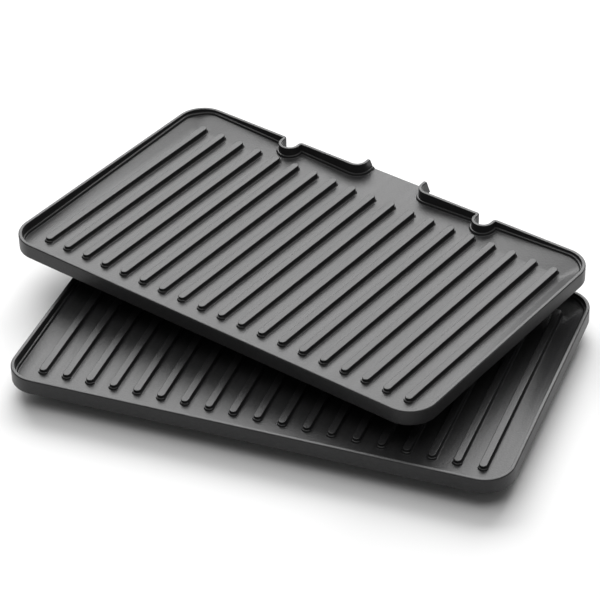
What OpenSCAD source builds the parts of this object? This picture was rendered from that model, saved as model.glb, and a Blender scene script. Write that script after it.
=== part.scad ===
// Pair of removable ribbed grill plates of a contact grill, the upper one
// lying turned on the lower one. Millimetres. The origin is the middle of the
// pair on the surface it stands on, X runs along the lower plate's long side and
// Y towards its drain spout.

/* [Plate] */
// Length of a plate over its rim
plate_l = 320; // [310:1:340]
// Width of a plate over its rim, without the spout
plate_w = 195; // [190:1:210]
// Radius of the four corners in plan
corner_r = 19; // [16:1:24]
// Height of the outer skirt, from rim top to underside
skirt_h = 10.3; // [10:0.1:12]
// Thickness of the rim wall
rim_t = 2.4; // [2:0.1:3]
// Depth of the tray floor's lowest level below the rim top
floor_depth = 8.2; // [7.6:0.1:8.4]

/* [Ribs] */
// Number of ribs
rib_n = 19; // [9:2:19]
// Distance between neighbouring ribs
rib_pitch = 15.6; // [15:0.05:15.6]
// Width of a rib
rib_w = 4.8; // [4:0.1:6]
// Depth of the rib tops below the rim top
rib_depth = 4.2; // [4:0.1:5.4]
// Length of a rib over its round ends
rib_l = 161; // [150:0.2:162]

/* [Notches] */
// Distance of each notch from the middle of the rear side
notch_x = 77.6; // [70:0.2:84]
// Radius of the round end of a notch
notch_r = 5.2; // [4.5:0.1:5.6]
// Distance from the rear face to the centre of the round end
notch_in = 4.8; // [4:0.1:5.6]
// Rounding where a notch meets the rear face
notch_edge_r = 2.6; // [1:0.1:3]

/* [Spout] */
// Clear width between the two lips of the spout
spout_w = 43; // [36:1:50]
// How far the spout reaches past the rear face at the underside
spout_l = 13.4; // [12:0.2:15]
// How far a lip reaches past the rear face at the rim top
lip_l = 9.2; // [8:0.2:10]
// Outer radius of the bend that turns the rim into a lip
lip_r = 5.8; // [5:0.1:6.5]

/* [Raised tray edges] */
// Rise of the whole tray floor from the rear wall to the front wall
front_rise = 1; // [0.4:0.1:1.6]
// Rise of the tray floor along the rear wall, at the corners
rear_rise = 5.2; // [3:0.1:5.6]
// Width of the rising band along the rear wall
rear_band = 23; // [18:1:24]
// Rise of the tray floor along a side wall, at the rear corner
side_rise = 5; // [3:0.1:5.4]
// Width of the rising band along a side wall
side_band = 14; // [10:0.5:14.5]

/* [Foot ring] */
// Height of the foot ring under the tray
foot_h = 11.7; // [11:0.1:13]
// Length of the foot ring
foot_l = 280; // [270:1:284]
// Width of the foot ring
foot_w = 168; // [162:1:170]
// Thickness of the foot ring's wall
foot_t = 3; // [2.6:0.1:4]

/* [Retention hardware] */
// Thickness of the stainless strike and tongues
sheet_t = 1.5; // [1:0.1:2]
// Length of the latch strike
strike_l = 54; // [50:1:60]
// Distance of each rear tongue from the middle
tongue_x = 46; // [38:1:56]
// Width of a rear tongue
tongue_w = 18; // [14:1:22]
// How far a tongue reaches past the foot ring
tongue_out = 9; // [5:0.5:10]
// Diameter of a screw's shank
screw_d = 4; // [3:0.5:4]

/* [Stack] */
// Turn of the upper plate about the vertical
upper_turn = -16.7; // [-17.5:0.1:-15.5]
// Shift of the upper plate along X
upper_x = -23.6; // [-26:0.1:-22]
// Shift of the upper plate along Y
upper_y = 56.5; // [54:0.1:60]
// Air left between the upper foot ring and the lower rim
stack_gap = 0.1; // [0.05:0.05:0.3]

/* [Hidden] */
$fn = 96;
eps = 0.01;
plate_h = foot_h + skirt_h;
floor_z = plate_h - floor_depth;
inner_l = plate_l - 2 * rim_t;
inner_w = plate_w - 2 * rim_t;
inner_r = corner_r - rim_t;
rear_y = plate_w / 2;
notch_y = rear_y - notch_in;
bend_x = spout_w / 2 + rim_t + lip_r;
bend_y = rear_y + lip_r;
spout_y = rear_y + spout_l;
spout_lean = spout_l - lip_l;
// the rear band starts to rise this far from the middle
rise_start = 30;
// slope of the side bands from front to rear, and where it starts
side_slope = 0.027;
foot_r = 14;
boss_d = 9;
boss_z = 5.2;
seat_z = boss_z - sheet_t;
hole_top = foot_h - 0.4;
head_d = 7.5;
head_h = 2.3;
fit_gap = 0.05;
front_in = foot_t - foot_w / 2;
strike_w = 14;
strike_stop = 4.6;
strike_screw_x = 20;
strike_screw_y = front_in + 6;
window_l = 28;
window_h = 4.5;
tongue_in = 26;
tongue_screws = [foot_w / 2 - foot_t - 6, foot_w / 2 - foot_t - 17];
// how far the turned upper plate reaches from its middle, and the pair's middle
half_l = plate_l / 2 - corner_r;
half_w = plate_w / 2 - corner_r;
reach_x = half_l * cos(upper_turn) + half_w * abs(sin(upper_turn)) + corner_r;
reach_y = half_w * cos(upper_turn) + half_l * abs(sin(upper_turn)) + corner_r;
mid_x = (max(plate_l / 2, upper_x + reach_x) + min(-plate_l / 2, upper_x - reach_x)) / 2;
mid_y = (max(spout_y, upper_y + reach_y) + min(-rear_y, upper_y - reach_y)) / 2;

// Rectangle with round corners, centred.
module round_rect(l, w, r) {
    square([l - 2 * r, w], center = true);
    square([l, w - 2 * r], center = true);
    for (sx = [-1, 1], sy = [-1, 1])
        translate([sx * (l / 2 - r), sy * (w / 2 - r)])
            circle(r);
}

// Bar with round ends along Y, centred.
module stadium(w, l) {
    square([w, l - w], center = true);
    for (s = [-1, 1])
        translate([0, s * (l - w) / 2])
            circle(w / 2);
}

// A round-ended slot that opens towards +Y, centred on its round end.
module open_slot(r, length) {
    circle(r);
    translate([-r, 0])
        square([2 * r, length]);
}

// Plan of one notch, with its mouth rounded into the rear face.
module notch_plan() {
    mouth = notch_r + notch_edge_r;
    translate([0, notch_y])
        open_slot(notch_r, notch_in + 1);
    difference() {
        translate([-mouth, rear_y - notch_edge_r])
            square([2 * mouth, notch_edge_r + 1]);
        for (s = [-1, 1])
            translate([s * mouth, rear_y - notch_edge_r])
                circle(notch_edge_r);
    }
}

// Plan of the tray's inside, with the walls around the notches left standing.
module tray_plan() {
    difference() {
        round_rect(inner_l, inner_w, inner_r);
        for (s = [-1, 1])
            translate([s * notch_x, notch_y])
                open_slot(notch_r + rim_t, notch_in);
    }
    translate([-bend_x, rear_y - rim_t - 1])
        square([2 * bend_x, rim_t + 1 + eps]);
}

// A wedge of the rising tray floor: zero at y = 0, rise at y = band.
module wedge(length, band, rise) {
    rotate([90, 0, 90])
        linear_extrude(length, center = true)
            polygon([[0, 0], [band + rim_t / 2, 0], [band + rim_t / 2, rise], [band, rise]]);
}

// The tray floor rises towards the rear corners and drains to the spout.
module raised_edges() {
    intersection() {
        translate([0, 0, floor_z - eps])
            linear_extrude(rear_rise + 1)
                round_rect(inner_l + rim_t, inner_w + rim_t, inner_r + rim_t / 2);
        union() {
            // the whole floor, falling from the front wall to the rear one
            translate([0, rear_y, floor_z - eps])
                rotate(180)
                    wedge(plate_l, plate_w - rim_t, front_rise);
            for (s = [0, 1])
                mirror([s, 0, 0]) {
                    // along the rear wall, cut down towards the spout
                    intersection() {
                        translate([0, rear_y - rim_t - rear_band, floor_z - eps])
                            wedge(plate_l, rear_band, rear_rise);
                        translate([0, rear_y, floor_z - eps])
                            rotate([90, 0, 0])
                                linear_extrude(2 * rear_band)
                                    polygon([
                                        [rise_start, 0], [plate_l / 2, 0], [plate_l / 2, rear_rise],
                                        [inner_l / 2 - corner_r, rear_rise]
                                    ]);
                    }
                    // along the side wall, lower towards the front
                    intersection() {
                        translate([inner_l / 2 - side_band, 0, floor_z - eps])
                            rotate(-90)
                                wedge(plate_w, side_band, side_rise);
                        translate([plate_l / 2, -rear_y, floor_z - eps])
                            rotate([90, 0, -90])
                                linear_extrude(2 * side_band)
                                    polygon([
                                        [0, 0], [-plate_w, 0], [-plate_w, side_slope * plate_w],
                                        [0, 0.3]
                                    ]);
                    }
                }
        }
    }
}

// Skirt, floor and rim, before the ribs.
module tray() {
    difference() {
        translate([0, 0, foot_h])
            linear_extrude(skirt_h)
                round_rect(plate_l, plate_w, corner_r);
        translate([0, 0, floor_z])
            linear_extrude(floor_depth + 1)
                tray_plan();
    }
}

// The spout: a floor between two lips that the rim turns into.
module spout() {
    floor_t = skirt_h - floor_depth;
    difference() {
        union() {
            translate([-spout_w / 2 - rim_t / 2, rear_y - rim_t, foot_h])
                cube([spout_w + rim_t, spout_l + rim_t + 1, floor_t]);
            for (s = [0, 1])
                mirror([s, 0, 0]) {
                    translate([0, 0, foot_h])
                        linear_extrude(floor_t)
                            difference() {
                                translate([spout_w / 2, rear_y - rim_t])
                                    square(lip_r + rim_t);
                                translate([bend_x, bend_y])
                                    circle(lip_r + rim_t / 2);
                            }
                    translate([bend_x, bend_y, foot_h])
                        rotate(180)
                            rotate_extrude(angle = 90)
                                translate([lip_r, 0])
                                    square([rim_t, skirt_h]);
                    translate([spout_w / 2, bend_y, foot_h])
                        cube([rim_t, spout_y - bend_y + 1, skirt_h]);
                }
        }
        // the end leans back from the underside to the rim top
        translate([0, spout_y, foot_h])
            rotate([90, 0, 90])
                linear_extrude(spout_w + 4 * rim_t, center = true)
                    polygon([
                        [spout_lean, -skirt_h], [-2 * spout_lean, 2 * skirt_h],
                        [spout_l, 2 * skirt_h], [spout_l, -skirt_h]
                    ]);
    }
}

module ribs() {
    translate([0, 0, floor_z - eps])
        linear_extrude(floor_depth - rib_depth + eps)
            for (i = [0 : rib_n - 1])
                translate([(i - (rib_n - 1) / 2) * rib_pitch, 0])
                    stadium(rib_w, rib_l);
}

// Screw places under the plate, as [x, y] pairs.
function strike_screws() = [for (s = [-1, 1]) [s * strike_screw_x, strike_screw_y]];
function tongue_screws(s) = [for (y = tongue_screws) [s * tongue_x, y]];

// The ring that stands on the grill's base, with bosses for the hardware.
module foot() {
    places = concat(strike_screws(), tongue_screws(-1), tongue_screws(1));
    difference() {
        union() {
            linear_extrude(foot_h + eps)
                difference() {
                    round_rect(foot_l, foot_w, foot_r);
                    round_rect(foot_l - 2 * foot_t, foot_w - 2 * foot_t, foot_r - foot_t);
                }
            for (p = places)
                translate([p[0], p[1], boss_z])
                    cylinder(d = boss_d, h = foot_h - boss_z + eps);
        }
        for (p = places)
            translate([p[0], p[1], boss_z - 1])
                cylinder(d = screw_d, h = hole_top - boss_z + 1);
        // gap that the grill's latch bolt comes in through
        translate([-window_l / 2, -foot_w / 2 - 1, -1])
            cube([window_l, foot_t + 2, boss_z + window_h + 1]);
        // gaps that the rear tongues pass out through
        for (s = [-1, 1])
            translate([s * tongue_x - tongue_w / 2 - fit_gap, foot_w / 2 - foot_t - 1, -1])
                cube([tongue_w + 2 * fit_gap, foot_t + 2, boss_z + fit_gap + 1]);
    }
}

module plate() {
    color("#444446")
        difference() {
            union() {
                tray();
                raised_edges();
                spout();
                ribs();
                foot();
            }
            for (s = [-1, 1])
                translate([s * notch_x, 0, foot_h - 1])
                    linear_extrude(skirt_h + 2)
                        notch_plan();
        }
}

// Ledge that the grill's latch bolt bears down on, with an upright that stops it.
module latch_strike() {
    color("#c4c6c8")
        difference() {
            union() {
                translate([-strike_l / 2, front_in + 0.3, seat_z])
                    cube([strike_l, strike_w, sheet_t]);
                translate([-window_l / 2, front_in + 0.3 + strike_w - sheet_t, seat_z])
                    cube([window_l, sheet_t, sheet_t + strike_stop]);
            }
            for (p = strike_screws())
                translate([p[0], p[1], seat_z - 1])
                    cylinder(d = screw_d + 0.4, h = sheet_t + 2);
        }
}

// Flat tongue that hooks under a ledge at the rear of the grill's base; s is its side.
module tongue(s) {
    length = tongue_in + tongue_out;
    color("#c4c6c8")
        difference() {
            translate([s * tongue_x, foot_w / 2 + tongue_out - length / 2, seat_z])
                linear_extrude(sheet_t)
                    round_rect(tongue_w, length, 4);
            for (p = tongue_screws(s))
                translate([p[0], p[1], seat_z - 1])
                    cylinder(d = screw_d + 0.4, h = sheet_t + 2);
        }
}

// Pan-head screws with a cross recess, from below.
module screws(places) {
    recess = [0.9, 4.2, 1.3];
    color("#a8aaac")
        for (p = places)
            translate([p[0], p[1], seat_z])
                difference() {
                    union() {
                        translate([0, 0, -head_h])
                            cylinder(d = head_d, h = head_h);
                        cylinder(d = screw_d - 2 * fit_gap, h = hole_top - seat_z - 0.3);
                    }
                    for (a = [0, 90])
                        translate([0, 0, -head_h])
                            rotate(a)
                                cube([recess[0], recess[1], 2 * recess[2]], center = true);
                }
}

// Puts its children where the lower plate stands.
module below() {
    translate([-mid_x, -mid_y, 0])
        children();
}

// Puts its children where the upper plate lies.
module on_top() {
    translate([upper_x - mid_x, upper_y - mid_y, plate_h + stack_gap])
        rotate(upper_turn)
            children();
}

below() plate();  // lower_plate
below() latch_strike();  // lower_latch_strike
below() screws(strike_screws());  // lower_strike_screws
below() tongue(-1);  // lower_left_tongue
below() tongue(1);  // lower_right_tongue
below() screws(concat(tongue_screws(-1), tongue_screws(1)));  // lower_tongue_screws
on_top() plate();  // upper_plate
on_top() latch_strike();  // upper_latch_strike
on_top() screws(strike_screws());  // upper_strike_screws
on_top() tongue(-1);  // upper_left_tongue
on_top() tongue(1);  // upper_right_tongue
on_top() screws(concat(tongue_screws(-1), tongue_screws(1)));  // upper_tongue_screws
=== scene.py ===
import math

import bmesh
import bpy
from mathutils import Matrix, Vector


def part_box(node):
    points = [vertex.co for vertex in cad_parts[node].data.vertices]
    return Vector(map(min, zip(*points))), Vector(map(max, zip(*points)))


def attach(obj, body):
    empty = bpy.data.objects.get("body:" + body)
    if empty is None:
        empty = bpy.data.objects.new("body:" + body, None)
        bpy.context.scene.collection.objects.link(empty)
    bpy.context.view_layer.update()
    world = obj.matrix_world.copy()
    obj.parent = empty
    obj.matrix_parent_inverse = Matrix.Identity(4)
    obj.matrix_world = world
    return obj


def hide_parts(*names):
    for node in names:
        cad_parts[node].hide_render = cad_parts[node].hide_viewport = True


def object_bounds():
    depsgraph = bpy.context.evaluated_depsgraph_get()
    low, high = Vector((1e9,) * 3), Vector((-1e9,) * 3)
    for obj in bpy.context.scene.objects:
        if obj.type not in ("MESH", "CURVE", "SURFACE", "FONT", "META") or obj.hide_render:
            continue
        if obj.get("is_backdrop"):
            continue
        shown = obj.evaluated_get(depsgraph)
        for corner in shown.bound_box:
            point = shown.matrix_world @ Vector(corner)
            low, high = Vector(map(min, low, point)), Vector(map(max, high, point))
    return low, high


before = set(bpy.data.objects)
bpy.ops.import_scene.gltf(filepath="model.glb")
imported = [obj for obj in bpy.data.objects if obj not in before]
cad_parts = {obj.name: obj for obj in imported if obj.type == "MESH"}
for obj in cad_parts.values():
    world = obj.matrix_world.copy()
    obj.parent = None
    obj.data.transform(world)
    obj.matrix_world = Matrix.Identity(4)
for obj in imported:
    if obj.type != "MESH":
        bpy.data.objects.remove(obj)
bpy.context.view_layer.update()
mm = 0.001

# camera first: a long lens that looks down at about 37 degrees
view = {
    "lens": 158.95,
    "azimuth": 21.367,
    "elevation": 36.505,
    "roll": -1.562,
    "distance": 1.6612,
    "aim": (0.0060, -0.01465, 0.022),
}


def directionTo(azimuth, elevation):
    a, e = math.radians(azimuth), math.radians(elevation)
    return Vector((math.sin(a) * math.cos(e), -math.cos(a) * math.cos(e), math.sin(e)))


def makeCamera():
    back = directionTo(view["azimuth"], view["elevation"])
    data = bpy.data.cameras.new("camera")
    data.lens = view["lens"]
    data.sensor_width = 36
    data.clip_start = 0.05
    data.clip_end = 20
    camera = bpy.data.objects.new("camera", data)
    camera.rotation_mode = "QUATERNION"
    camera.location = Vector(view["aim"]) + back * view["distance"]
    turn = (-back).to_track_quat("-Z", "Y").to_matrix()
    roll = Matrix.Rotation(math.radians(view["roll"]), 3, "Z")
    camera.rotation_quaternion = (turn @ roll).to_quaternion()
    bpy.context.scene.collection.objects.link(camera)
    bpy.context.scene.camera = camera


makeCamera()
print("camera placed")


# shader maths: a wire is one output socket, and an expression on wires adds its nodes
class Wire:
    def __init__(self, tree, socket=None):
        self.tree = tree
        self.socket = socket

    def add(self, kind, settings, values, output=0):
        node = self.tree.nodes.new(kind)
        for name, value in settings.items():
            if name == "stops":
                for n, (place, colour) in enumerate(value):
                    stop = node.color_ramp.elements[n] if n < 2 else node.color_ramp.elements.new(place)
                    stop.position = place
                    stop.color = colour
            else:
                setattr(node, name, value)
        for name, value in values.items():
            if isinstance(value, Wire):
                self.tree.links.new(value.socket, node.inputs[name])
            else:
                node.inputs[name].default_value = value
        return Wire(self.tree, node.outputs[output])

    def maths(self, operation, first, second):
        return self.add("ShaderNodeMath", {"operation": operation}, {0: first, 1: second})

    def __add__(self, other):
        return self.maths("ADD", self, other)

    def __radd__(self, other):
        return self.maths("ADD", other, self)

    def __sub__(self, other):
        return self.maths("SUBTRACT", self, other)

    def __rsub__(self, other):
        return self.maths("SUBTRACT", other, self)

    def __mul__(self, other):
        return self.maths("MULTIPLY", self, other)

    def __rmul__(self, other):
        return self.maths("MULTIPLY", other, self)


def newMaterial(name):
    material = bpy.data.materials.new(name)
    material.use_nodes = True
    shader = material.node_tree.nodes["Principled BSDF"]
    return material, shader, Wire(material.node_tree)


def connect(shader, name, wire):
    wire.tree.links.new(wire.socket, shader.inputs[name])


coating = {
    "dark": (0.016, 0.016, 0.0165, 1),
    "light": (0.024, 0.024, 0.0245, 1),
    "roughness": 0.40,
    "ior": 1.38,
    "grain": 800,
    "grainDepth": 0.00016,
    "streak": (420, 5, 420),
    "cloud": 35,
}


def makeCoating(name, turn):
    # satin charcoal non-stick coating: sprayed grain and faint streaks along the ribs
    material, shader, start = newMaterial(name)
    place = start.add("ShaderNodeTexCoord", {}, {}, "Object")
    along = start.add(
        "ShaderNodeMapping", {"vector_type": "TEXTURE"},
        {"Vector": place, "Rotation": (0, 0, math.radians(turn))},
    )
    stretched = start.add("ShaderNodeMapping", {}, {"Vector": along, "Scale": coating["streak"]})
    streak = start.add("ShaderNodeTexNoise", {}, {"Vector": stretched, "Scale": 1, "Detail": 3})
    grain = start.add(
        "ShaderNodeTexNoise", {},
        {"Vector": place, "Scale": coating["grain"], "Detail": 2, "Roughness": 0.6},
    )
    cloud = start.add(
        "ShaderNodeTexNoise", {}, {"Vector": place, "Scale": coating["cloud"], "Detail": 3},
    )
    mix = 0.45 * grain + 0.35 * streak + 0.2 * cloud
    tone = start.add(
        "ShaderNodeValToRGB",
        {"stops": [(0.38, coating["dark"]), (0.62, coating["light"])]},
        {"Fac": mix},
    )
    connect(shader, "Base Color", tone)
    polish = coating["roughness"] + 0.10 * (grain - 0.5) + 0.12 * (streak - 0.5)
    connect(shader, "Roughness", polish)
    bump = start.add(
        "ShaderNodeBump", {},
        {"Height": grain + 0.4 * streak, "Strength": 0.6, "Distance": coating["grainDepth"]},
    )
    connect(shader, "Normal", bump)
    shader.inputs["IOR"].default_value = coating["ior"]
    return material


def darker(colour, share):
    return tuple(share * c for c in colour[:3]) + (1,)


sheet = {"colour": (0.60, 0.60, 0.61, 1), "brush": (60, 3200, 3200), "cloud": 120, "edge": 0.25}


def makeBrushedSteel(name, turn):
    # sheet steel brushed along the piece
    material, shader, start = newMaterial(name)
    place = start.add("ShaderNodeTexCoord", {}, {}, "Object")
    along = start.add(
        "ShaderNodeMapping", {"vector_type": "TEXTURE"},
        {"Vector": place, "Rotation": (0, 0, math.radians(turn))},
    )
    stretched = start.add("ShaderNodeMapping", {}, {"Vector": along, "Scale": sheet["brush"]})
    brush = start.add("ShaderNodeTexNoise", {}, {"Vector": stretched, "Scale": 1, "Detail": 3})
    cloud = start.add("ShaderNodeTexNoise", {}, {"Vector": place, "Scale": sheet["cloud"], "Detail": 2})
    tone = start.add(
        "ShaderNodeValToRGB",
        {"stops": [(0.3, darker(sheet["colour"], 0.85)), (0.7, sheet["colour"])]},
        {"Fac": 0.6 * brush + 0.4 * cloud},
    )
    connect(shader, "Base Color", tone)
    connect(shader, "Roughness", 0.24 + 0.16 * brush)
    bump = start.add("ShaderNodeBump", {}, {"Height": brush, "Strength": 0.3, "Distance": 0.00003})
    connect(shader, "Normal", bump)
    shader.inputs["Metallic"].default_value = 1
    return material


zinc = {"colour": (0.50, 0.50, 0.505, 1), "cloud": 500, "edge": 0.2}


def makeZincPlate(name):
    # zinc plating on the screws, slightly cloudy
    material, shader, start = newMaterial(name)
    place = start.add("ShaderNodeTexCoord", {}, {}, "Object")
    cloud = start.add("ShaderNodeTexNoise", {}, {"Vector": place, "Scale": zinc["cloud"], "Detail": 3})
    tone = start.add(
        "ShaderNodeValToRGB",
        {"stops": [(0.35, darker(zinc["colour"], 0.8)), (0.65, zinc["colour"])]},
        {"Fac": cloud},
    )
    connect(shader, "Base Color", tone)
    connect(shader, "Roughness", 0.26 + 0.14 * cloud)
    bump = start.add("ShaderNodeBump", {}, {"Height": cloud, "Strength": 0.2, "Distance": 0.00004})
    connect(shader, "Normal", bump)
    shader.inputs["Metallic"].default_value = 1
    return material


# the plate, in millimetres in its own frame: foot at z 0, spout towards +y
low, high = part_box("lower_plate")
plate = {
    "length": (high.x - low.x) / mm,
    "width": 195,
    "height": high.z / mm,
    "skirt": 10.3,
    "corner": 19,
    "wall": 2.4,
    "floorDepth": 8.2,
    "underEdge": 0.5,
    "rimOuter": 0.8,
    "rimInner": 0.5,
    "cornerSteps": 16,
    "step": 6.5,
    "floorStep": 4,
}
# the small step between wall and tray floor: its steps are (distance from the wall, height) pairs
ledge = {
    "steps": ((0.1, 2.05), (0.2, 1.92), (0.85, 1.85), (1.05, 1.68), (1.16, 1.3)),
    "reach": 1.9,
    "root": 0.65,
    "fade": 0.06,
}
ribs = {
    "count": 19,
    "pitch": 15.6,
    "topDepth": 4.2,
    "halfWidth": 2.4,
    "edge": 0.45,
    "topInset": 0.7,
    "endY": 78.1,
    "endBlend": 1.5,
    "steps": 24,
    "roundSteps": 12,
}
notch = {"x": 77.6, "radius": 5.2, "inset": 4.8, "mouth": 2.6, "steps": 18, "mouthSteps": 5}
spout = {
    "halfWidth": 21.5,
    "bend": 5.8,
    "bendSteps": 9,
    "lip": 9.2,
    "lean": 4.2,
    "spare": 18,
    "spareCorner": 3,
    "step": 2,
    "edge": 0.3,
}
rise = {
    "front": 1.0,
    "rear": 5.2,
    "rearBand": 23,
    "rearFrom": 30,
    "side": 5.0,
    "sideBand": 14,
    "sideFrom": -110,
    "sideLength": 190,
    "power": 4,
    "bend": 0.3,
}
foot = {
    "length": 280,
    "width": 168,
    "wall": 3,
    "corner": 14,
    "cornerSteps": 10,
    "latchGap": 14,
    "latchTop": 9.7,
    "gapEdge": 0.02,
    "edge": 0.5,
    "root": 0.6,
}
boss = {
    "radius": 4.5,
    "hole": 2.0,
    "face": 5.2,
    "holeTop": 11.3,
    "root": 0.6,
    "edge": 0.3,
    "holeEdge": 0.2,
    "strikeX": 20,
    "strikeIn": 6,
}
tongue = {"x": 46, "halfGap": 9.05, "gapTop": 5.25, "screwsIn": (6, 17)}
stack = {"turn": -16.7, "shift": (-23.6, 56.5)}

baseZ = plate["height"] - plate["skirt"]
floorZ = plate["height"] - plate["floorDepth"]


def clamp(t):
    return min(max(t, 0), 1)


def smooth(t):
    t = clamp(t)
    return t * t * (3 - 2 * t)


def ramp(t):
    # a straight slope from 0 to 1 that starts in a soft bend
    t = clamp(t)
    soft = rise["bend"]
    return (t * t / (2 * soft) if t < soft else t - soft / 2) / (1 - soft / 2)


def floorRise(x, y):
    # the tray floor climbs towards the front and the rear corners, and drains to the spout
    sideX = plate["length"] / 2 - plate["wall"]
    rearY = plate["width"] / 2 - plate["wall"]
    reach = sideX - plate["corner"]
    along = clamp((abs(x) - rise["rearFrom"]) / (reach - rise["rearFrom"]))
    rear = rise["rear"] * along * ramp((y - rearY + rise["rearBand"]) / rise["rearBand"])
    back = clamp((y - rise["sideFrom"]) / rise["sideLength"])
    side = rise["side"] * back * ramp((abs(x) - sideX + rise["sideBand"]) / rise["sideBand"])
    front = rise["front"] * clamp((rearY - y) / (2 * rearY))
    rises = sum(part ** rise["power"] for part in (front, rear, side))
    return rises ** (1 / rise["power"])


# A path is a list of places. A place is (centre, direction, radius, sense, corner): offset
# inwards by d it lies at centre + direction * (radius - sense * d), and once a convex bend
# has shrunk to nothing it moves along corner instead.
def placeAt(place, offset):
    centre, direction, radius, sense, corner = place
    reach = radius - sense * offset
    if sense > 0 and reach < 0:
        return centre - corner * reach
    return centre + direction * reach


def straight(start, end, inward, step=None, stops=()):
    start, end, inward = Vector(start), Vector(end), Vector(inward)
    length = (end - start).length
    count = max(1, round(length / (step or plate["step"])))
    shares = {i / count for i in range(1, count)} | {s / length for s in stops}
    return [(start.lerp(end, s), inward, 0, -1, Vector((0, 0))) for s in sorted(shares)]


def bend(centre, radius, fromDeg, toDeg, steps, convex=True, corner=(0, 0)):
    places = []
    for i in range(steps + 1):
        angle = math.radians(fromDeg + (toDeg - fromDeg) * i / steps)
        direction = Vector((math.cos(angle), math.sin(angle)))
        places.append((Vector(centre), direction, radius, 1 if convex else -1, Vector(corner)))
    return places


def mirrored(places):
    flipped = []
    for centre, direction, radius, sense, corner in reversed(places):
        flip = [Vector((-v.x, v.y)) for v in (centre, direction, corner)]
        flipped.append((flip[0], flip[1], radius, sense, flip[2]))
    return flipped


def plateOutline():
    # outer face of skirt, notches and spout; the right half, then its mirror image
    halfL, halfW, corner = plate["length"] / 2, plate["width"] / 2, plate["corner"]
    cx, cy, steps = halfL - corner, halfW - corner, plate["cornerSteps"]
    x, r, m = notch["x"], notch["radius"], notch["mouth"]
    roundY, mouthY = halfW - notch["inset"], halfW - m
    lipX = spout["halfWidth"] + plate["wall"]
    bendX, bendY = lipX + spout["bend"], halfW + spout["bend"]
    endY, endR = halfW + spout["spare"], spout["spareCorner"]
    right = straight((0, -halfW), (cx, -halfW), (0, 1))
    right += bend((cx, -cy), corner, -90, 0, steps)
    right += straight((halfL, -cy), (halfL, cy), (-1, 0))
    right += bend((cx, cy), corner, 0, 90, steps)
    right += straight((cx, halfW), (x + r + m, halfW), (0, -1))
    right += bend((x + r + m, mouthY), m, 90, 180, notch["mouthSteps"], corner=(1, -1))
    right += bend((x, roundY), r, 0, -180, notch["steps"], convex=False)
    right += bend((x - r - m, mouthY), m, 0, 90, notch["mouthSteps"], corner=(-1, -1))
    right += straight((x - r - m, halfW), (bendX, halfW), (0, -1))
    right += bend((bendX, bendY), spout["bend"], -90, -180, spout["bendSteps"], convex=False)
    right += straight((lipX, bendY), (lipX, endY - endR), (-1, 0), step=spout["step"])
    right += bend((lipX - endR, endY - endR), endR, 0, 90, 5, corner=(-1, -1))
    right += straight((lipX - endR, endY), (0, endY), (0, -1))
    middleRear = [(Vector((0, endY)), Vector((0, -1)), 0, -1, Vector((0, 0)))]
    middleFront = [(Vector((0, -halfW)), Vector((0, 1)), 0, -1, Vector((0, 0)))]
    return middleFront + right + middleRear + mirrored(right)


def footOutline():
    halfL, halfW, corner = foot["length"] / 2, foot["width"] / 2, foot["corner"]
    cx, cy = halfL - corner, halfW - corner
    edge, steps = foot["gapEdge"], foot["cornerSteps"]
    frontStops = (foot["latchGap"], foot["latchGap"] + edge)
    gapLow, gapHigh = tongue["x"] - tongue["halfGap"], tongue["x"] + tongue["halfGap"]
    rearStops = [cx - s for s in (gapHigh + edge, gapHigh, gapLow, gapLow - edge)]
    right = straight((0, -halfW), (cx, -halfW), (0, 1), stops=frontStops)
    right += bend((cx, -cy), corner, -90, 0, steps)
    right += straight((halfL, -cy), (halfL, cy), (-1, 0))
    right += bend((cx, cy), corner, 0, 90, steps)
    right += straight((cx, halfW), (0, halfW), (0, -1), stops=rearStops)
    middleRear = [(Vector((0, halfW)), Vector((0, -1)), 0, -1, Vector((0, 0)))]
    middleFront = [(Vector((0, -halfW)), Vector((0, 1)), 0, -1, Vector((0, 0)))]
    return middleFront + right + middleRear + mirrored(right)


def ribOutline(x):
    # offsets are measured outwards from the rib's centre line
    endY, steps = ribs["endY"], ribs["roundSteps"]
    step = 2 * endY / ribs["steps"]
    path = bend((x, -endY), 0, 180, 360, steps)
    path += straight((x, -endY), (x, endY), (-1, 0), step=step)
    path += bend((x, endY), 0, 0, 180, steps)
    path += straight((x, endY), (x, -endY), (1, 0), step=step)
    return path


def circle(x, y, radius, steps=24):
    return bend((x, y), radius, 0, 360 - 360 / steps, steps - 1)


def sweep(bm, path, profile, height):
    # carries a loop along the path through the profile's (offset, level, reference) steps
    index = bm.verts.layers.int.get("place") or bm.verts.layers.int.new("place")
    loop = [bm.verts.new((0, 0, 0)) for _ in path]
    for i, v in enumerate(loop):
        v[index] = i
    edges = [bm.edges.new((loop[i - 1], loop[i])) for i in range(len(loop))]
    first, verts = edges, loop
    for n, step in enumerate(profile):
        if n:
            grown = bmesh.ops.extrude_edge_only(bm, edges=edges)["geom"]
            verts = [g for g in grown if isinstance(g, bmesh.types.BMVert)]
            fresh = set(verts)
            edges = [
                g for g in grown
                if isinstance(g, bmesh.types.BMEdge) and all(v in fresh for v in g.verts)
            ]
        for v in verts:
            flat = placeAt(path[v[index]], step[0])
            v.co = (flat.x, flat.y, height(flat.x, flat.y, step[1], step[2]))
    return first, edges


def quarter(offset, level, radius, fromDeg, toDeg, steps, reference):
    # a rounding seen in section: offset runs inwards, level upwards
    points = []
    for i in range(steps + 1):
        angle = math.radians(fromDeg + (toDeg - fromDeg) * i / steps)
        points.append((offset + radius * math.cos(angle), level + radius * math.sin(angle), reference))
    return points


def levels(x, y, level, reference):
    zero = {"rim": plate["height"], "base": baseZ, "foot": 0}
    if reference == "floor":
        return floorZ + floorRise(x, y) + level
    if reference == "ledge":
        up = floorRise(x, y)
        return floorZ + up + level * (1 - ledge["fade"] * up)
    return zero[reference] + level


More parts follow.
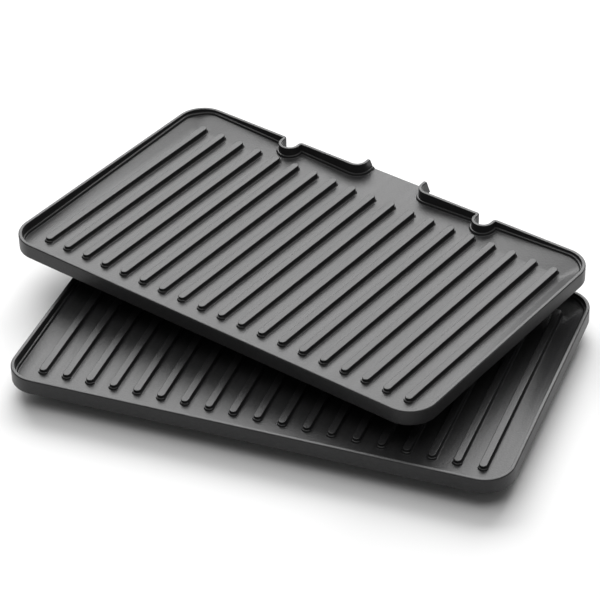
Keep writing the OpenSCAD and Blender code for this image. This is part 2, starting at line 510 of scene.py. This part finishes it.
def footLevels(x, y, level, reference):
    # the foot ring stops short over the latch strike and the tongues
    z = levels(x, y, level, reference)
    spare = foot["gapEdge"] / 4
    if y < 0 and abs(x) <= foot["latchGap"] + spare:
        z = max(z, foot["latchTop"])
    if y > 0 and abs(abs(x) - tongue["x"]) <= tongue["halfGap"] + spare:
        z = max(z, tongue["gapTop"])
    return z


def wallProfile():
    # from the underside, up the skirt, over the rim and down to the tray floor
    wall, root = plate["wall"], ledge["root"]
    under, outer, inner = plate["underEdge"], plate["rimOuter"], plate["rimInner"]
    profile = [(1.6, 0, "base"), (1.0, 0, "base")]
    profile += quarter(under, under, under, 270, 180, 3, "base")
    profile += quarter(outer, -outer, outer, 180, 90, 4, "rim")
    profile += quarter(wall - inner, -inner, inner, 90, 0, 3, "rim")
    profile += [(wall + offset, level, "ledge") for offset, level in ledge["steps"]]
    profile += quarter(wall + ledge["reach"], root, root, 180, 270, 4, "ledge")
    return profile


def ribLevels(x, y, level, reference):
    # a bead's level is given for the straight sides and for the round ends
    if reference != "bead":
        return levels(x, y, level, reference)
    side, end = level
    share = smooth((abs(y) - ribs["endY"]) / ribs["endBlend"])
    return levels(x, y, side + (end - side) * share, "floor")


def ribProfile():
    # a low bead runs round the foot of the rib
    half, edge = ribs["halfWidth"], ribs["edge"]
    bead = [
        (1.3, (0, 0)), (1.0, (0, 0.1)), (0.85, (0.01, 0.4)), (0.75, (0.03, 0.95)),
        (0.6, (0.08, 1.18)), (0.35, (0.24, 1.28)), (0.1, (0.5, 1.36)), (0, (0.8, 1.55)),
    ]
    profile = [(half + offset, level, "bead") for offset, level in bead]
    profile += quarter(half - edge, -ribs["topDepth"] - edge, edge, 0, 90, 4, "rim")
    profile += [(half - edge - ribs["topInset"], -ribs["topDepth"], "rim")]
    return profile


def footProfile():
    wall, root, edge = foot["wall"], foot["root"], foot["edge"]
    profile = quarter(-root, -root, root, 90, 0, 3, "base")
    profile += quarter(edge, edge, edge, 180, 270, 2, "foot")
    profile += quarter(wall - edge, edge, edge, 270, 360, 2, "foot")
    profile += quarter(wall + root, -root, root, 180, 90, 3, "base")
    return profile


def bossProfile():
    # offsets run inwards from the boss's side to the wall of its screw hole
    root, edge, holeEdge = boss["root"], boss["edge"], boss["holeEdge"]
    hole = boss["radius"] - boss["hole"]
    profile = quarter(-root, -root, root, 90, 0, 3, "base")
    profile += [(0, boss["face"] + edge, "foot"), (edge, boss["face"], "foot")]
    profile += [(hole - holeEdge, boss["face"], "foot"), (hole, boss["face"] + holeEdge, "foot")]
    profile += [(hole, boss["holeTop"], "foot")]
    return profile


def bossPlaces():
    strikeY = foot["wall"] - foot["width"] / 2 + boss["strikeIn"]
    rearY = foot["width"] / 2 - foot["wall"]
    places = [(side * boss["strikeX"], strikeY) for side in (-1, 1)]
    places += [(side * tongue["x"], rearY - s) for side in (-1, 1) for s in tongue["screwsIn"]]
    return places


def fill(bm, edges, marker):
    # merges what a shrunk bend left on top of itself, then fills between the open loops
    marked = {v for e in edges for v in e.verts}
    bmesh.ops.remove_doubles(bm, verts=[v for v in bm.verts if v in marked], dist=0.001)
    marked = {v for v in marked if v.is_valid}
    verts = [v for v in bm.verts if v in marked]
    edges = [e for e in bm.edges if e.is_boundary and all(v in marked for v in e.verts)]
    # turned askew while it is filled, because rows of level vertices make it fold slivers over
    askew = Matrix.Rotation(math.radians(31), 3, "Z")
    bmesh.ops.rotate(bm, verts=verts, cent=(0, 0, 0), matrix=askew)
    made = bmesh.ops.triangle_fill(bm, use_beauty=True, edges=edges, normal=(0, 0, 1))["geom"]
    bmesh.ops.rotate(bm, verts=verts, cent=(0, 0, 0), matrix=askew.transposed())
    for g in made:
        if isinstance(g, bmesh.types.BMFace):
            g.material_index = marker


def refine(bm, marker, longest):
    # halves each inner edge that is the longest of both its triangles, round after round
    rounds = 60
    for _ in range(rounds):
        faces = [f for f in bm.faces if f.material_index == marker]
        inner = [
            e for e in bm.edges
            if not e.is_wire and all(f.material_index == marker for f in e.link_faces)
        ]
        bm.edges.index_update()
        bm.faces.index_update()
        worst = {f.index: max(f.edges, key=lambda e: (e.calc_length(), e.index)) for f in faces}
        split = [
            e for e in inner
            if e.calc_length() > longest and all(worst[f.index] == e for f in e.link_faces)
        ]
        if not split:
            break
        bmesh.ops.subdivide_edges(bm, edges=split, cuts=1, use_single_edge=True)
    for v in {v for f in faces for v in f.verts}:
        v.co.z = floorZ + floorRise(v.co.x, v.co.y)


def makePlateMesh():
    # the tray floor's triangles carry a material index of their own until they are refined
    under, tray = 0, 1
    bm = bmesh.new()
    underEdges, floorEdges = sweep(bm, plateOutline(), wallProfile(), levels)
    middle = (ribs["count"] - 1) / 2
    for i in range(ribs["count"]):
        x = (i - middle) * ribs["pitch"]
        outwards = [(-offset, level, reference) for offset, level, reference in ribProfile()]
        base, top = sweep(bm, ribOutline(x), outwards, ribLevels)
        floorEdges += base
        bmesh.ops.edgeloop_fill(bm, edges=top)
    fill(bm, floorEdges, tray)
    refine(bm, tray, plate["floorStep"])
    footOuter, footInner = sweep(bm, footOutline(), footProfile(), footLevels)
    fill(bm, underEdges + footOuter, under)
    for x, y in bossPlaces():
        base, end = sweep(bm, circle(x, y, boss["radius"]), bossProfile(), levels)
        footInner += base
        bmesh.ops.edgeloop_fill(bm, edges=end)
    fill(bm, footInner, under)
    return bm


def cutSpout(bm):
    # the spout's end leans back from its underside to the lips' tops
    halfW = plate["width"] / 2
    topY = halfW + spout["lip"]
    normal = Vector((0, plate["skirt"], spout["lean"])).normalized()
    bmesh.ops.bisect_plane(
        bm, geom=bm.verts[:] + bm.edges[:] + bm.faces[:], dist=0.0001,
        plane_co=(0, topY, plate["height"]), plane_no=normal, clear_outer=True,
    )
    rim = [e for e in bm.edges if e.is_boundary]
    end = bmesh.ops.edgeloop_fill(bm, edges=rim)["faces"]
    edges = [e for f in end for e in f.edges]
    bmesh.ops.bevel(
        bm, geom=edges, affect="EDGES", offset=spout["edge"], segments=2, profile=0.5, material=-1,
        clamp_overlap=True,
    )


def finishPlate(bm, name, body, place, turn):
    mesh = bpy.data.meshes.new(name)
    bm.to_mesh(mesh)
    mesh.transform(place)
    for face in mesh.polygons:
        face.use_smooth = True
    mesh.set_sharp_from_angle(angle=math.radians(38))
    obj = bpy.data.objects.new(name, mesh)
    bpy.context.scene.collection.objects.link(obj)
    weights = obj.modifiers.new("evenShading", "WEIGHTED_NORMAL")
    weights.keep_sharp = True
    mesh.materials.append(makeCoating(name + "Coating", turn))
    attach(obj, body)
    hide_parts(body + "_plate")


def makePlates():
    bm = makePlateMesh()
    cutSpout(bm)
    bmesh.ops.remove_doubles(bm, verts=bm.verts[:], dist=0.0002)
    bmesh.ops.recalc_face_normals(bm, faces=bm.faces[:])
    for face in bm.faces:
        face.material_index = 0
    bm.verts.layers.int.remove(bm.verts.layers.int["place"])
    print("open edges:", sum(not e.is_manifold for e in bm.edges), "volume:", round(bm.calc_volume()))
    low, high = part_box("lower_plate")
    middle = Vector(((low.x + high.x) / 2, low.y + plate["width"] * mm / 2, 0))
    lower = Matrix.Translation(middle) @ Matrix.Scale(mm, 4)
    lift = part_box("upper_plate")[0].z
    shift = Vector((stack["shift"][0] * mm, stack["shift"][1] * mm, lift))
    turn = Matrix.Rotation(math.radians(stack["turn"]), 4, "Z")
    upper = Matrix.Translation(middle + shift) @ turn @ Matrix.Scale(mm, 4)
    finishPlate(bm, "lowerPlate", "lower", lower, 0)
    finishPlate(bm, "upperPlate", "upper", upper, stack["turn"])
    bm.free()


makePlates()
print("plates made")


def dress(node, material, edge):
    # gives a CAD piece its material and softens its edges
    for n in range(len(node.data.materials)):
        node.data.materials[n] = material
    weld = node.modifiers.new("weld", "WELD")
    weld.merge_threshold = 0.00001
    bevel = node.modifiers.new("edges", "BEVEL")
    bevel.width = edge * mm
    bevel.segments = 2
    bevel.limit_method = "ANGLE"
    bevel.angle_limit = math.radians(40)
    bevel.harden_normals = True


def dressHardware():
    for body, turn in (("lower", 0), ("upper", stack["turn"])):
        brushed = makeBrushedSteel(body + "Sheet", turn)
        plated = makeZincPlate(body + "Zinc")
        for name in ("latch_strike", "left_tongue", "right_tongue"):
            dress(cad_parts[body + "_" + name], brushed, sheet["edge"])
        for name in ("strike_screws", "tongue_screws"):
            dress(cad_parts[body + "_" + name], plated, zinc["edge"])


dressHardware()
print("hardware dressed")


studio = {
    "floor": (0.70, 0.70, 0.70, 1),
    "floorSize": 14,
    "world": (0.9, 0.9, 0.9),
    "worldStrength": 0.2,
    "aim": (0, 0, 0.02),
}
# azimuth is measured like the camera's: 0 looks along +y, so 180 stands behind the plates
lights = {
    "backSoftbox": {"azimuth": 201, "elevation": 42, "distance": 2.2, "size": (2.6, 1.5), "power": 95},
    "topFill": {"azimuth": 30, "elevation": 86, "distance": 2.2, "size": (2.4, 2.4), "power": 34},
}


def makeAreaLight(name, choice):
    data = bpy.data.lights.new(name, "AREA")
    data.shape = "RECTANGLE"
    data.size, data.size_y = choice["size"]
    data.energy = choice["power"]
    light = bpy.data.objects.new(name, data)
    back = directionTo(choice["azimuth"], choice["elevation"])
    light.location = Vector(studio["aim"]) + back * choice["distance"]
    light.rotation_mode = "QUATERNION"
    light.rotation_quaternion = (-back).to_track_quat("-Z", "Y")
    bpy.context.scene.collection.objects.link(light)


def makeStudio():
    bm = bmesh.new()
    bmesh.ops.create_grid(bm, x_segments=1, y_segments=1, size=studio["floorSize"] / 2)
    mesh = bpy.data.meshes.new("floor")
    bm.to_mesh(mesh)
    bm.free()
    floor = bpy.data.objects.new("floor", mesh)
    bpy.context.scene.collection.objects.link(floor)
    material, shader = newMaterial("paleFloor")[:2]
    shader.inputs["Base Color"].default_value = studio["floor"]
    shader.inputs["Roughness"].default_value = 0.9
    shader.inputs["Specular IOR Level"].default_value = 0.1
    mesh.materials.append(material)
    floor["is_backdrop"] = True
    world = bpy.data.worlds.new("studio")
    world.use_nodes = True
    sky = world.node_tree.nodes["Background"]
    sky.inputs["Color"].default_value = (*studio["world"], 1)
    sky.inputs["Strength"].default_value = studio["worldStrength"]
    bpy.context.scene.world = world
    bpy.context.scene.view_settings.view_transform = "Standard"
    for name, choice in lights.items():
        makeAreaLight(name, choice)


makeStudio()
print("studio lit")

low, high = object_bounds()
